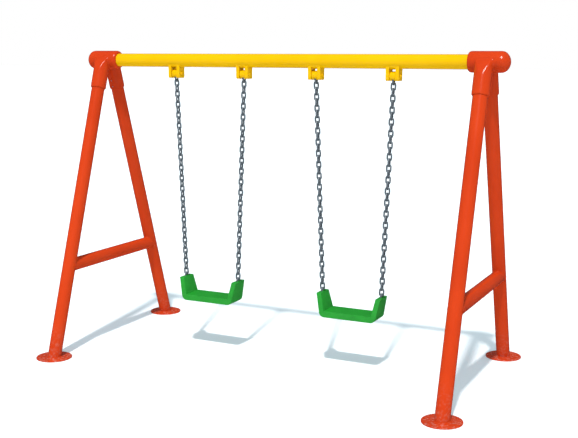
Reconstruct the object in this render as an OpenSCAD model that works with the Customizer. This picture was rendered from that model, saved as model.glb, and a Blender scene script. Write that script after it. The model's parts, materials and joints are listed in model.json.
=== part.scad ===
// Two-seat swing set: a pipe A-frame at each end, a top beam clamped between two corner
// castings, and two bucket-sided seats on steel chains. Millimetres, X along the beam,
// Y front to back, Z up, origin on the ground under the middle of the beam.

/* [Frame] */
// Height of the top beam's axis above the ground
beam_height = 2540; // [2300:10:2800]
// Distance between the planes of the two A-frames
frame_spacing = 3480; // [3300:10:4200]
// Distance between the axes of a pair of legs at ground level
leg_spread = 1758; // [1400:2:2200]
// Distance between the axes of a pair of legs at the height of the beam's axis
leg_top_gap = 131; // [126:1:150]
// Outer diameter of the legs, braces and beam
pipe_od = 114; // [100:1:126]
// Wall of the legs, braces and beam
pipe_wall = 3.6; // [3:0.1:6]
// Height of a brace's axis above the ground
brace_height = 766; // [500:2:1100]

/* [Base plates] */
// Diameter of a base plate
plate_d = 302; // [280:2:400]
// Thickness of a base plate
plate_t = 10; // [8:1:16]
// Pitch circle of the anchor holes
anchor_pcd = 230; // [200:2:250]
// Diameter of an anchor hole
anchor_hole_d = 14; // [10:1:20]
// Number of anchor holes in a plate
anchor_count = 4; // [3:1:6]

/* [Corner castings] */
// Wall of the sleeve around the beam
sleeve_wall = 24; // [18:1:30]
// Length of the sleeve from the leg plane inwards
sleeve_in = 135; // [125:1:180]
// Length of the sleeve from the leg plane to its closed end
sleeve_out = 184; // [180:1:230]
// Rounding of the sleeve's open rim
rim_round = 21; // [6:1:22]
// Length of the sleeve's domed end
dome_len = 64; // [58:1:76]
// Rounding between the sleeve's wall and its domed end
dome_side = 48.6; // [40:0.2:52]
// Wall of a leg socket
socket_wall = 10; // [8:0.5:12]
// Length of a leg socket along the leg, from the height of the beam's axis
socket_len = 262; // [220:2:320]
// Rounding of a leg socket's open rim
socket_rim = 3; // [1:0.5:6]
// Metal left between the end of a leg and the beam
leg_stop_web = 52; // [50:1:80]
// Distance from the height of the beam's axis down to where a leg socket starts to curve in
crown_drop = 130; // [110:2:160]
// Radius that the front of a leg socket curves in with
crown_r = 250; // [220:5:400]
// Clearance around a pipe in its socket
pipe_fit = 0.3; // [0.1:0.1:1]
// Diameter of a set screw
set_screw_d = 12; // [8:1:16]

/* [Hangers] */
// Distance between the centres of the two swings
swing_spacing = 1338; // [1200:2:1500]
// Distance between the two hangers of a swing
hanger_spacing = 672; // [560:2:760]
// Outer width of a hanger along the beam
hanger_w = 110; // [104:1:130]
// Depth of a hanger front to back
hanger_depth = 86; // [80:1:100]
// Thickness of a hanger's cheek
cheek_t = 28; // [22:0.5:34]
// Drop of the pivot axis below the beam's axis
pivot_drop = 115; // [110:1:140]
// Metal below the pivot axis in a cheek
cheek_below = 37; // [30:1:44]
// Rounding of a cheek's lower corners
cheek_round = 18; // [5:1:25]
// Thickness of the saddle plate under the beam
saddle_t = 6; // [4:0.5:10]
// Outer diameter of a pivot bearing
bearing_od = 40; // [36:1:44]
// Width of a pivot bearing
bearing_w = 12; // [8:1:14]
// Diameter of a shoulder screw's shank
screw_d = 17; // [14:1:18]
// Diameter of a shoulder screw's domed head
screw_head_d = 34; // [30:1:40]
// Height of a shoulder screw's domed head
screw_head_h = 9; // [6:0.5:12]
// Diameter of a pivot block
block_d = 76; // [60:1:80]
// Gap between a pivot block and a cheek
block_gap = 1.5; // [1:0.1:3]
// Drop of the link pin below the pivot axis
link_pin_drop = 17; // [15:0.5:18]
// Diameter of the link pins and seat pins
pin_d = 10; // [8:0.5:12]
// Radial clearance of a shaft that turns in its bore
running_fit = 0.05; // [0.02:0.01:0.1]

/* [Chains] */
// Diameter of the chain's wire
wire_d = 15; // [10:0.5:16]
// Inner length of a link
link_inner = 46.5; // [42:0.5:50]
// Inner width of a link
link_bore = 19.5; // [17:0.5:22]
// Number of links in a chain, always odd
link_count = 39; // [33:2:41]
// Slack between two links that pull on each other
link_gap = 0.15; // [0.05:0.05:0.5]

/* [Seats] */
// Distance between the two pins that a seat hangs on
seat_pin_spacing = 524; // [440:2:600]
// Rise of a wing's top above the seat pins
wing_rise = 19; // [15:1:26]
// Drop of the seat's underside below the seat pins
seat_drop = 180; // [150:1:220]
// Thickness of the seat pan
pan_t = 53; // [35:1:70]
// Distance from a seat pin's chain line to the outer face of the wing's top
wing_out = 22; // [20:0.5:30]
// Distance from a seat pin's chain line to the inner face of the wing's top
wing_in = 20; // [17:0.5:30]
// Lean of a wing's outer face
outer_lean = 11.8; // [6:0.1:14]
// Lean of a wing's inner face
inner_lean = 13.3; // [6:0.1:20]
// Depth of the seat pan front to back
pan_depth = 202; // [180:2:260]
// Depth of a wing's top front to back
wing_depth = 160; // [120:2:180]
// Rounding of the outer lower corners
corner_round = 44; // [20:1:55]
// Room beside the link's wire in the slots of the seats and pivot blocks
slot_play = 4.4; // [3.4:0.2:6]
// Furthest that a seat tilts on its pins, in degrees either way
seat_tilt = 20; // [10:1:20]

/* [Hidden] */
pipe_r = pipe_od / 2;
pipe_bore_r = pipe_r - pipe_wall;
lean = atan((leg_spread - leg_top_gap) / 2 / beam_height);
plane_x = frame_spacing / 2;
foot_y = leg_spread / 2;
far = 2 * beam_height;
cut = 1;

sleeve_r = pipe_r + sleeve_wall;
socket_r = pipe_r + socket_wall;
leg_stop = pipe_r + leg_stop_web - leg_top_gap / 2 * sin(lean);
beam_end = sleeve_out - dome_len + sleeve_wall / 2;
sleeve_screw_x = (sleeve_in + socket_r) / 2;
socket_screws = [(leg_stop + socket_len) / 2, socket_len - 30];
thread_fit = 0.05;

pivot_z = beam_height - pivot_drop;
cheek_x = hanger_w / 2 - cheek_t;
saddle_edge = sqrt(pow(pipe_r, 2) - pow(hanger_depth / 2, 2));
lip_hole_r = screw_d / 2 + 4;
block_x = cheek_x - block_gap;
link_slot = wire_d + slot_play;
screw_reach = link_slot / 2 + 2.3;
part_gap = 0.3;
head_gap = 0.5;
ring_t = block_gap - part_gap;

link_pin_z = pivot_z - link_pin_drop;
link_pitch = link_inner - link_gap;
pin_r = pin_d / 2;
wire_r = wire_d / 2;
link_play = 2;
block_slot_rise = pin_r + wire_d + link_play - link_pin_drop;
link_width = link_bore + 2 * wire_d;
bend_r = link_width / 2 - wire_r;
first_link = link_inner / 2 - pin_r - link_gap;
chain_len = first_link + (link_count - 1) * link_pitch + link_inner / 2 - pin_r - part_gap;
chain_step = (hanger_spacing - seat_pin_spacing) / 2;
chain_lean = asin(chain_step / chain_len);
seat_pin_z = link_pin_z - chain_len * cos(chain_lean);

wing_top_z = seat_pin_z + wing_rise;
pan_top_z = seat_pin_z - seat_drop + pan_t;
pan_low_z = seat_pin_z - seat_drop;
wing_out_x = seat_pin_spacing / 2 + wing_out;
wing_in_x = seat_pin_spacing / 2 - wing_in;
slot_swing = link_width / 2 + 3;
pin_inset = 3;

SIDES = [-1, 1];

// A cylinder along X from x0 to x1
module rod_x(x0, x1, r) {
    translate([x0, 0, 0]) rotate([0, 90, 0]) cylinder(h = x1 - x0, r = r, $fn = 96);
}

// Puts children at the top of a leg's axis, with local -Z running down the leg
module leg_space(sx, sy) {
    translate([sx * plane_x, sy * leg_top_gap / 2, beam_height]) rotate([sy * lean, 0, 0]) children();
}

// Puts children on the beam's axis in a leg plane, with local +Z outwards and local +X up
module sleeve_space(sx) {
    translate([sx * plane_x, 0, beam_height]) rotate([0, sx * 90, 0]) rotate(90 + sx * 90) children();
}

// Puts children at a hanger's pivot; side is -1 or 1 for the swing, end -1 or 1 for its hanger
module hanger_space(side, end) {
    translate([side * swing_spacing / 2 + end * hanger_spacing / 2, 0, pivot_z]) children();
}

// A half profile for a turned part: radius r, from y0 to y1, with each end's corner rounded
module turned_profile(r, y0, y1, round0, round1) {
    intersection() {
        union() {
            polygon([[0, y0], [r - round0, y0], [r, y0 + round0],
                     [r, y1 - round1], [r - round1, y1], [0, y1]]);
            translate([r - round0, y0 + round0]) circle(r = round0, $fn = 64);
            translate([r - round1, y1 - round1]) circle(r = round1, $fn = 64);
        }
        translate([0, y0]) square([r, y1 - y0]);
    }
}

// The part of a disc between two angles up to a quarter turn apart
module disc_sector(r, from, to) {
    intersection() {
        circle(r = r, $fn = 192);
        polygon([[0, 0], 3 * r * [cos(from), sin(from)], 3 * r * [cos(to), sin(to)]]);
    }
}

// A half profile whose far end is a low dome: an arc of radius side_arc off the wall, then one round the axis
module domed_profile(r, y0, y1, round0, dome, side_arc) {
    base = y1 - dome;
    top_arc = (pow(r, 2) + pow(dome, 2) - 2 * r * side_arc) / 2 / (dome - side_arc);
    side_mid = [r - side_arc, base];
    top_mid = [0, y1 - top_arc];
    run = side_mid - top_mid;
    turn = atan2(run[1], run[0]);
    meet = top_mid + top_arc * [cos(turn), sin(turn)];
    intersection() {
        union() {
            turned_profile(r, y0, base, round0, 0);
            polygon([[0, base], [r, base], meet, [0, y1]]);
            translate(side_mid) disc_sector(side_arc, 0, turn);
            translate(top_mid) disc_sector(top_arc, turn, 90);
        }
        translate([0, y0]) square([r, y1 - y0]);
    }
}

// A leg socket that keeps its width up to the sleeve, its front rounded over by a cylinder along the beam
module socket_body() {
    intersection() {
        rotate_extrude($fn = 96) turned_profile(socket_r, -socket_len, sleeve_r, socket_rim, 0);
        union() {
            translate([0, socket_r - crown_r, -crown_drop]) rod_x(-2 * socket_r, 2 * socket_r, crown_r);
            translate([-2 * socket_r, -2 * socket_r, -2 * socket_len])
                cube([4 * socket_r, 4 * socket_r, 2 * socket_len - crown_drop]);
        }
    }
}

// The beam: one straight pipe from casting to casting
module top_beam() {
    color("gold") translate([0, 0, beam_height]) difference() {
        rod_x(-plane_x - beam_end, plane_x + beam_end, pipe_r);
        rod_x(-plane_x - beam_end - cut, plane_x + beam_end + cut, pipe_bore_r);
    }
}

// A set screw's shape along local Z, from the pipe's surface to the outside of a wall
module set_screw(wall, fit) {
    translate([0, 0, pipe_r + part_gap]) cylinder(h = wall - part_gap + fit, r = set_screw_d / 2 + fit, $fn = 48);
}

// Every set screw of one corner: two in each leg socket and two under the sleeve
module corner_screw_set(sx, fit) {
    for (sy = SIDES, reach = socket_screws)
        leg_space(sx, sy) translate([0, 0, -reach]) rotate([sy * 90, 0, 0]) set_screw(socket_wall, fit);
    for (end = SIDES)
        translate([sx * plane_x + end * sleeve_screw_x, 0, beam_height]) rotate([180, 0, 0])
            set_screw(sleeve_wall, fit);
}

// A corner casting: a closed sleeve for the beam with two leg sockets under it
module corner_casting(sx) {
    color("orangered") difference() {
        union() {
            sleeve_space(sx) rotate_extrude($fn = 96)
                domed_profile(sleeve_r, -sleeve_in, sleeve_out, rim_round, dome_len, dome_side);
            for (sy = SIDES)
                leg_space(sx, sy) mirror([0, sy < 0 ? 1 : 0, 0]) socket_body();
        }
        sleeve_space(sx) translate([0, 0, -sleeve_in - cut])
            cylinder(h = sleeve_in + beam_end + cut + pipe_fit, r = pipe_r + pipe_fit, $fn = 96);
        for (sy = SIDES)
            leg_space(sx, sy) translate([0, 0, -socket_len - cut])
                cylinder(h = socket_len - leg_stop + cut + pipe_fit, r = pipe_r + pipe_fit, $fn = 96);
        corner_screw_set(sx, thread_fit);
    }
}

module corner_set_screws(sx) {
    color("silver") corner_screw_set(sx, 0);
}

// The outside of a leg, from its stop in the casting past the ground
module leg_cylinder(sx, sy, r) {
    leg_space(sx, sy) translate([0, 0, -leg_stop - far]) cylinder(h = far, r = r, $fn = 96);
}

module leg(sx, sy) {
    color("orangered") difference() {
        leg_cylinder(sx, sy, pipe_r);
        leg_space(sx, sy) translate([0, 0, -leg_stop - far - cut])
            cylinder(h = far + 2 * cut, r = pipe_bore_r, $fn = 96);
        translate([-far, -far, plate_t - 2 * far]) cube([2 * far, 2 * far, 2 * far]);
    }
}

// A brace: a pipe between a pair of legs, its ends saddled to fit them
module brace(sx) {
    brace_reach = leg_top_gap / 2 + (beam_height - brace_height) * tan(lean);
    color("orangered") difference() {
        translate([sx * plane_x, brace_reach, brace_height]) rotate([90, 0, 0])
            difference() {
                cylinder(h = 2 * brace_reach, r = pipe_r, $fn = 96);
                translate([0, 0, -cut]) cylinder(h = 2 * (brace_reach + cut), r = pipe_bore_r, $fn = 96);
            }
        for (sy = SIDES)
            leg_cylinder(sx, sy, pipe_r);
    }
}

module base_plate(sx, sy) {
    color("orangered") translate([sx * plane_x, sy * foot_y, 0]) difference() {
        cylinder(h = plate_t, d = plate_d, $fn = 96);
        for (i = [0 : anchor_count - 1])
            rotate(360 / anchor_count * (i + 0.5)) translate([anchor_pcd / 2, 0, -cut])
                cylinder(h = plate_t + 2 * cut, d = anchor_hole_d, $fn = 48);
    }
}

// A cheek's outline: square at the top, rounded at its lower corners
module cheek_outline() {
    half = hanger_depth / 2;
    top = pivot_drop - saddle_edge;
    difference() {
        union() {
            polygon([[-half, top], [-half, cheek_round - cheek_below], [cheek_round - half, -cheek_below],
                     [half - cheek_round, -cheek_below], [half, cheek_round - cheek_below], [half, top]]);
            for (sy = SIDES)
                translate([sy * (half - cheek_round), cheek_round - cheek_below])
                    circle(r = cheek_round, $fn = 64);
        }
        translate([0, pivot_drop]) circle(r = pipe_r, $fn = 96);
    }
}

// The saddle plate's outline, curved to the underside of the beam
module saddle_outline() {
    intersection() {
        translate([0, pivot_drop]) difference() {
            circle(r = pipe_r + saddle_t, $fn = 96);
            circle(r = pipe_r, $fn = 96);
        }
        translate([-hanger_depth / 2, 0]) square([hanger_depth, pivot_drop - saddle_edge]);
    }
}

// Extrudes an outline drawn in Y and Z along X from x0 to x1
module along_x(x0, x1) {
    translate([x0, 0, 0]) rotate([90, 0, 90]) linear_extrude(height = x1 - x0) children();
}

// A hanger: a saddle plate and two cheeks, each with a pocket for a bearing
module hanger(side, end) {
    color("gold") hanger_space(side, end) difference() {
        union() {
            along_x(-hanger_w / 2, hanger_w / 2) saddle_outline();
            along_x(cheek_x, hanger_w / 2) cheek_outline();
            along_x(-hanger_w / 2, -cheek_x) cheek_outline();
        }
        rod_x(-hanger_w, hanger_w, lip_hole_r);
        rod_x(-cheek_x - bearing_w, cheek_x + bearing_w, bearing_od / 2 + thread_fit);
    }
}

module pivot_bearings(side) {
    color("silver") for (end = SIDES, face = SIDES)
        hanger_space(side, end) mirror([face < 0 ? 1 : 0, 0, 0]) difference() {
            rod_x(cheek_x, cheek_x + bearing_w, bearing_od / 2);
            rod_x(cheek_x - cut, cheek_x + bearing_w + cut, screw_d / 2 + running_fit);
        }
}

// The block that turns between the cheeks and carries the chain, slotted from below for the first link
module pivot_block(side, end) {
    color("gold") hanger_space(side, end) difference() {
        rod_x(-block_x, block_x, block_d / 2);
        translate([-link_slot / 2, -slot_swing, -block_d])
            cube([link_slot, 2 * slot_swing, block_d + block_slot_rise]);
        for (face = SIDES)
            mirror([face < 0 ? 1 : 0, 0, 0])
                rod_x(screw_reach - part_gap, block_x + cut, screw_d / 2 + thread_fit);
        translate([0, 0, -link_pin_drop]) rod_x(-block_x - cut, block_x + cut, pin_r + thread_fit);
    }
}

// A shoulder screw: a shank into the block and a domed head outside the cheek
module shoulder_screws(side) {
    head_x = hanger_w / 2 + head_gap;
    color("silver") for (end = SIDES, face = SIDES)
        hanger_space(side, end) mirror([face < 0 ? 1 : 0, 0, 0]) {
            rod_x(screw_reach, head_x + cut, screw_d / 2);
            translate([head_x, 0, 0]) rotate([0, 90, 0]) rotate_extrude($fn = 64)
                turned_profile(screw_head_d / 2, 0, screw_head_h, cut, screw_head_h - 2 * cut);
        }
}

module spacer_rings(side) {
    color("silver") for (end = SIDES, face = SIDES)
        hanger_space(side, end) mirror([face < 0 ? 1 : 0, 0, 0]) difference() {
            rod_x(block_x, block_x + ring_t, screw_d / 2 + 3.5);
            rod_x(block_x - cut, block_x + ring_t + cut, screw_d / 2 + thread_fit);
        }
}

module link_pins(side) {
    color("silver") for (end = SIDES)
        hanger_space(side, end) translate([0, 0, -link_pin_drop]) rod_x(-block_x + cut, block_x - cut, pin_r);
}

// One chain link in the YZ plane, its long way along Z
module chain_link() {
    straight = link_inner - 2 * bend_r + wire_d;
    for (up = SIDES) {
        translate([0, 0, up * straight / 2]) intersection() {
            rotate([0, 90, 0]) rotate_extrude($fn = 48) translate([bend_r, 0]) circle(r = wire_r, $fn = 32);
            translate([-link_width, -link_width, up > 0 ? 0 : -2 * link_width])
                cube(2 * link_width);
        }
        translate([0, up * bend_r, -straight / 2]) cylinder(h = straight, r = wire_r, $fn = 32);
    }
}

// A chain from the link pin down to the seat pin, every other link turned a quarter
module chain(side, end) {
    color("slategray") hanger_space(side, end) translate([0, 0, -link_pin_drop])
        rotate([0, end * chain_lean, 0])
            for (i = [0 : link_count - 1])
                translate([0, 0, -first_link - i * link_pitch]) rotate(i % 2 == 0 ? 0 : 90) chain_link();
}

// The seat's right half outline in X and Z, with a round lower corner
module seat_half_outline() {
    low_x = wing_out_x - (wing_top_z - pan_low_z) * tan(outer_lean);
    pan_x = wing_in_x - (wing_top_z - pan_top_z) * tan(inner_lean);
    turn = 90 - outer_lean;
    trim = corner_round * tan(turn / 2);
    polygon([[0, pan_low_z], [low_x - trim, pan_low_z],
             [low_x + trim * sin(outer_lean), pan_low_z + trim * cos(outer_lean)],
             [wing_out_x, wing_top_z], [wing_in_x, wing_top_z],
             [pan_x, pan_top_z], [0, pan_top_z]]);
    translate([low_x - trim, pan_low_z + corner_round]) circle(r = corner_round, $fn = 96);
}

// The seat's side outline in Y and Z: the wings narrow towards their tops
module seat_side_outline() {
    polygon([[-pan_depth / 2, pan_low_z], [pan_depth / 2, pan_low_z], [pan_depth / 2, pan_top_z],
             [wing_depth / 2, wing_top_z], [-wing_depth / 2, wing_top_z], [-pan_depth / 2, pan_top_z]]);
}

// The slot's outline in Y and Z, wide enough for the link at every tilt of the seat
module seat_slot_outline() {
    top = wing_rise + cut;
    half = slot_swing / cos(seat_tilt) + top * tan(seat_tilt);
    translate([0, seat_pin_z]) {
        circle(r = slot_swing, $fn = 64);
        polygon([[-slot_swing * cos(seat_tilt), -slot_swing * sin(seat_tilt)],
                 [slot_swing * cos(seat_tilt), -slot_swing * sin(seat_tilt)], [half, top], [-half, top]]);
    }
}

// A moulded seat with two wings, slotted for the chains and bored for the seat pins
module seat(side) {
    pin_x = seat_pin_spacing / 2;
    color("green") translate([side * swing_spacing / 2, 0, 0]) difference() {
        intersection() {
            rotate([90, 0, 0]) translate([0, 0, -pan_depth / 2]) linear_extrude(height = pan_depth)
                union() {
                    seat_half_outline();
                    mirror([1, 0]) seat_half_outline();
                }
            along_x(-wing_out_x, wing_out_x) seat_side_outline();
        }
        for (end = SIDES)
            mirror([end < 0 ? 1 : 0, 0, 0]) {
                along_x(pin_x - link_slot / 2, pin_x + link_slot / 2) seat_slot_outline();
                translate([0, 0, seat_pin_z])
                    rod_x(pin_x - wing_in + pin_inset, wing_out_x + cut, pin_r + thread_fit);
            }
    }
}

module seat_pins(side) {
    pin_x = seat_pin_spacing / 2;
    color("silver") translate([side * swing_spacing / 2, 0, seat_pin_z]) for (end = SIDES)
        mirror([end < 0 ? 1 : 0, 0, 0])
            rod_x(pin_x - wing_in + pin_inset + cut, wing_out_x - wing_rise * tan(outer_lean) - pin_inset, pin_r);
}

top_beam();
corner_casting(-1);  // left_corner_casting
corner_casting(1);  // right_corner_casting
corner_set_screws(-1);  // left_set_screws
corner_set_screws(1);  // right_set_screws
leg(-1, -1);  // left_front_leg
leg(-1, 1);  // left_back_leg
leg(1, -1);  // right_front_leg
leg(1, 1);  // right_back_leg
brace(-1);  // left_brace
brace(1);  // right_brace
base_plate(-1, -1);  // left_front_base_plate
base_plate(-1, 1);  // left_back_base_plate
base_plate(1, -1);  // right_front_base_plate
base_plate(1, 1);  // right_back_base_plate
hanger(-1, -1);  // left_outer_hanger
hanger(-1, 1);  // left_inner_hanger
hanger(1, -1);  // right_inner_hanger
hanger(1, 1);  // right_outer_hanger
pivot_bearings(-1);  // left_pivot_bearings
pivot_bearings(1);  // right_pivot_bearings
pivot_block(-1, -1);  // left_outer_pivot_block
pivot_block(-1, 1);  // left_inner_pivot_block
pivot_block(1, -1);  // right_inner_pivot_block
pivot_block(1, 1);  // right_outer_pivot_block
shoulder_screws(-1);  // left_shoulder_screws
shoulder_screws(1);  // right_shoulder_screws
spacer_rings(-1);  // left_spacer_rings
spacer_rings(1);  // right_spacer_rings
link_pins(-1);  // left_link_pins
link_pins(1);  // right_link_pins
chain(-1, -1);  // left_outer_chain
chain(-1, 1);  // left_inner_chain
chain(1, -1);  // right_inner_chain
chain(1, 1);  // right_outer_chain
seat(-1);  // left_seat
seat(1);  // right_seat
seat_pins(-1);  // left_seat_pins
seat_pins(1);  // right_seat_pins
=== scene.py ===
"""Builds the looks of a two-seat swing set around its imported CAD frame.

Metres throughout, X along the top beam, Y front to back, Z up. Every piece stands for one CAD
node, sits where that node sits and rides on the node's body.
"""

import json
import logging
import math
from collections.abc import Callable, Iterator
from contextlib import contextmanager
from dataclasses import dataclass
from enum import Enum

import bpy
from mathutils import Matrix, Vector


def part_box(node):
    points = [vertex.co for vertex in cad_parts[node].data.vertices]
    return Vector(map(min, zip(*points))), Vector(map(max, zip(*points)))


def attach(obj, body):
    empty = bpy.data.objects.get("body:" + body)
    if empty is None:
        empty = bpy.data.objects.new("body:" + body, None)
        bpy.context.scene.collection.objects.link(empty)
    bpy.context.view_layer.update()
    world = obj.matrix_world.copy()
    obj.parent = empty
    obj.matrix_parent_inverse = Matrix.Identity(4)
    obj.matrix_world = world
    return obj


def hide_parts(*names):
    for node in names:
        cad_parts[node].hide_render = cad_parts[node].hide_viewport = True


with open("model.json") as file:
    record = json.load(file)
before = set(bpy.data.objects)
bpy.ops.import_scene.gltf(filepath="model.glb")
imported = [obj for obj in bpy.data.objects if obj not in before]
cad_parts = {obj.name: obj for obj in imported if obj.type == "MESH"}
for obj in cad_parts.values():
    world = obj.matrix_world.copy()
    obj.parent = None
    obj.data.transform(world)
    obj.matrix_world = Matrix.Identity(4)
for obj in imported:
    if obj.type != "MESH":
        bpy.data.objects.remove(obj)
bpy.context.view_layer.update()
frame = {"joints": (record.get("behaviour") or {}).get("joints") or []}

log = logging.getLogger("swing_set")

Colour = tuple[float, float, float]
Profile = list[tuple[float, float]]
Test = Callable[[Vector], bool]

MM = 0.001
SIDES = (-1, 1)
SIDE_NAMES = {-1: "left", 1: "right"}
DEPTH_NAMES = {-1: "front", 1: "back"}
NEAR = 0.02 * MM
CUT = 1 * MM


class Pick(Enum):
    """The kind of mesh element that an edit works on."""

    POINTS = "VERT"
    EDGES = "EDGE"
    FACES = "FACE"


class Blend(Enum):
    """How a second solid changes the first."""

    CUT = "DIFFERENCE"
    FUSE = "UNION"
    KEEP = "INTERSECT"


# --- The bench: modelling moves that every part uses -------------------------------------------


def alone(obj: bpy.types.Object) -> bpy.types.Object:
    """Makes one object the only selected and the active one."""
    bpy.ops.object.select_all(action="DESELECT")
    obj.select_set(True)
    bpy.context.view_layer.objects.active = obj
    return obj


@contextmanager
def editing(obj: bpy.types.Object, pick: Pick, test: Test | None = None) -> Iterator[None]:
    """Opens a mesh in edit mode with what a test picks selected, and closes it after.

    Args:
        obj: The mesh object to edit.
        pick: Whether points, edges or faces are picked.
        test: Says whether an element is picked: all of an edge's or face's points have to pass.
            Without a test, everything is selected.
    """
    alone(obj)
    bpy.ops.object.mode_set(mode="EDIT")
    bpy.ops.mesh.select_mode(type=pick.value)
    bpy.ops.mesh.select_all(action="DESELECT" if test else "SELECT")
    if test:
        bpy.ops.object.mode_set(mode="OBJECT")
        mesh = obj.data
        passed = [test(v.co) for v in mesh.vertices]
        if pick is Pick.POINTS:
            for v in mesh.vertices:
                v.select = passed[v.index]
        for item in {Pick.POINTS: (), Pick.EDGES: mesh.edges, Pick.FACES: mesh.polygons}[pick]:
            item.select = all(passed[i] for i in item.vertices)
        bpy.ops.object.mode_set(mode="EDIT")
    yield
    bpy.ops.object.mode_set(mode="OBJECT")


def settle(obj: bpy.types.Object, place: Matrix | None = None) -> bpy.types.Object:
    """Moves an object by a matrix and puts its place into its mesh."""
    if place is not None:
        obj.matrix_world = place @ obj.matrix_world
    alone(obj)
    bpy.ops.object.transform_apply(location=True, rotation=True, scale=True)
    return obj


def modify(obj: bpy.types.Object, kind: str, **settings: object) -> bpy.types.Object:
    """Adds one modifier with its settings and applies it."""
    alone(obj)
    bpy.ops.object.modifier_add(type=kind)
    modifier = obj.modifiers[-1]
    for name, value in settings.items():
        setattr(modifier, name, value)
    bpy.ops.object.modifier_apply(modifier=modifier.name)
    return obj


def combine(body: bpy.types.Object, tool: bpy.types.Object, how: Blend) -> bpy.types.Object:
    """Cuts a solid out of a body or fuses it on, and removes the tool."""
    modify(body, "BOOLEAN", operation=how.value, solver="EXACT", object=tool)
    bpy.data.objects.remove(tool)
    return body


def copy_of(obj: bpy.types.Object, place: Matrix) -> bpy.types.Object:
    """A copy with its own mesh, moved by a matrix."""
    alone(obj)
    bpy.ops.object.duplicate()
    return settle(bpy.context.object, place)


def gather(parts: list[bpy.types.Object]) -> bpy.types.Object:
    """Joins separate solids into one object, the first."""
    alone(parts[0])
    for part in parts[1:]:
        part.select_set(True)
    if len(parts) > 1:
        bpy.ops.object.join()
    return parts[0]


def soften(
    obj: bpy.types.Object, width: float, steps: int = 3, angle: float = 35
) -> bpy.types.Object:
    """Rounds every edge sharper than an angle in degrees."""
    return modify(
        obj, "BEVEL", limit_method="ANGLE", angle_limit=math.radians(angle),
        width=width, segments=steps, use_clamp_overlap=True,
    )


def shade(obj: bpy.types.Object, angle: float = 32) -> bpy.types.Object:
    """Smooths the shading across edges flatter than an angle in degrees."""
    alone(obj)
    bpy.ops.object.shade_smooth_by_angle(angle=math.radians(angle))
    return obj


def arc(
    centre: tuple[float, float], radius: float, start: float, end: float, steps: int
) -> Profile:
    """Points on an arc, both ends included.

    Args:
        centre: The arc's centre, as radius from the axis and height.
        radius: The arc's radius.
        start: Angle of the first point in degrees, 0 outwards and 90 up.
        end: Angle of the last point.
        steps: How many straight steps the arc has.

    Returns:
        The points as (radius, height) pairs.
    """
    angles = [math.radians(start + (end - start) * i / steps) for i in range(steps + 1)]
    return [(centre[0] + radius * math.cos(a), centre[1] + radius * math.sin(a)) for a in angles]


def turned(profile: Profile, segments: int = 64, ring: bool = False) -> bpy.types.Object:
    """Turns a profile about Z, one extruded ring of edges for each of its points.

    Args:
        profile: Points as (radius, height) pairs. A last radius of 0 closes in a pole.
        segments: How many sides the turning has.
        ring: True joins the last point to the first, for a shape with a hole.

    Returns:
        The closed solid.
    """
    radius, height = profile[0]
    bpy.ops.object.select_all(action="DESELECT")
    bpy.ops.mesh.primitive_circle_add(
        vertices=segments, radius=radius, location=(0, 0, height),
        fill_type="NOTHING" if ring else "NGON",
    )
    obj = settle(bpy.context.object)
    with editing(obj, Pick.EDGES if ring else Pick.FACES):
        for new_radius, new_height in profile[1:] + (profile[:1] if ring else []):
            bpy.ops.mesh.extrude_region_move(
                TRANSFORM_OT_translate={"value": (0, 0, new_height - height)}
            )
            if new_radius:
                grow = new_radius / radius
                bpy.ops.transform.resize(
                    value=(grow, grow, 1), center_override=(0, 0, new_height)
                )
            else:
                bpy.ops.mesh.merge(type="CENTER")
            radius, height = new_radius, new_height
        bpy.ops.mesh.select_all(action="SELECT")
        if ring:
            bpy.ops.mesh.remove_doubles(threshold=NEAR)
        bpy.ops.mesh.normals_make_consistent(inside=False)
    return obj


def block(low: Vector, high: Vector) -> bpy.types.Object:
    """A plain box between two corners, the start of a shape or a cutter."""
    bpy.ops.object.select_all(action="DESELECT")
    bpy.ops.mesh.primitive_cube_add(size=1, location=(low + high) / 2, scale=high - low)
    return settle(bpy.context.object)


def rod(radius: float, start: float, end: float, segments: int = 64) -> bpy.types.Object:
    """A plain round bar along Z, the start of a shape or a cutter."""
    bpy.ops.object.select_all(action="DESELECT")
    bpy.ops.mesh.primitive_cylinder_add(
        vertices=segments, radius=radius, depth=end - start, location=(0, 0, (start + end) / 2)
    )
    return settle(bpy.context.object)


def pipe(radius: float, wall: float, length: float, segments: int = 96) -> bpy.types.Object:
    """A pipe along Z from 0 to its length, drawn as a skin and given its wall inwards."""
    bpy.ops.object.select_all(action="DESELECT")
    bpy.ops.mesh.primitive_cylinder_add(
        vertices=segments, radius=radius, depth=length, location=(0, 0, length / 2),
        end_fill_type="NOTHING",
    )
    return modify(settle(bpy.context.object), "SOLIDIFY", thickness=wall, offset=-1)


def weld_bead(source: bpy.types.Object, along: Test, radius: float) -> bpy.types.Object:
    """A round bead along the edges of a solid that a test picks, as a new solid."""
    with editing(source, Pick.EDGES, along):
        bpy.ops.mesh.duplicate()
        bpy.ops.mesh.separate(type="SELECTED")
    line = next(o for o in bpy.context.selected_objects if o is not source)
    with editing(line, Pick.FACES):
        bpy.ops.mesh.delete(type="ONLY_FACE")
    alone(line)
    bpy.ops.object.convert(target="CURVE")
    line.data.bevel_depth = radius
    line.data.bevel_resolution = 2
    bpy.ops.object.convert(target="MESH")
    with editing(line, Pick.FACES):
        bpy.ops.mesh.remove_doubles(threshold=NEAR)
        bpy.ops.mesh.normals_make_consistent(inside=False)
    return line


def off_axis(point: Vector, place: Matrix) -> float:
    """How far a point lies from the local Z axis of a place."""
    local = place.inverted() @ point
    return math.hypot(local.x, local.y)


def at(x: float, y: float, z: float, turn: float = 0, axis: str = "X") -> Matrix:
    """A place at a point, turned by an angle in degrees about one axis."""
    return Matrix.Translation((x, y, z)) @ Matrix.Rotation(math.radians(turn), 4, axis)


def along_x(x: float, y: float, z: float, way: int = 1) -> Matrix:
    """A place whose local Z runs along X, one way or the other."""
    return at(x, y, z, 90 * way, "Y")


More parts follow.
